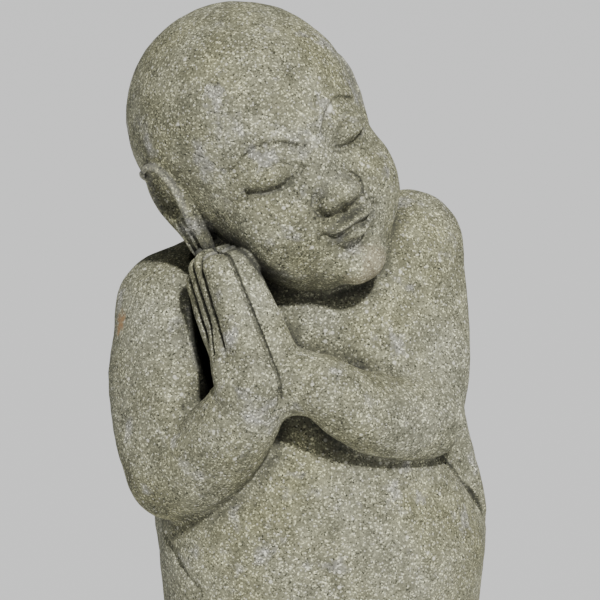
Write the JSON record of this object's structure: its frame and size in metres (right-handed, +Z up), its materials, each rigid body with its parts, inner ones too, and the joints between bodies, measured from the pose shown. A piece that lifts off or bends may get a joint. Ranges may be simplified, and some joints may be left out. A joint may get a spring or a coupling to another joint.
{
  "type": "monk statue",
  "caption": "Carved stone garden figure of a standing monk, head tilted onto joined hands, on a low oval base carved in one with it.",
  "frame": {"origin": "middle of the base's flat underside", "axes": "+Z up through the figure, -Y the way the figure faces, +X towards the figure's left side"},
  "size_m": [0.378, 0.355, 0.9911],
  "materials": {
    "stone": "weathered fine-grained grey-green stone, matt, with pale and dark grains and pale lichen patches"
  },
  "bodies": {
    "root": {"monk_statue": "stone"}
  },
  "joints": []
}
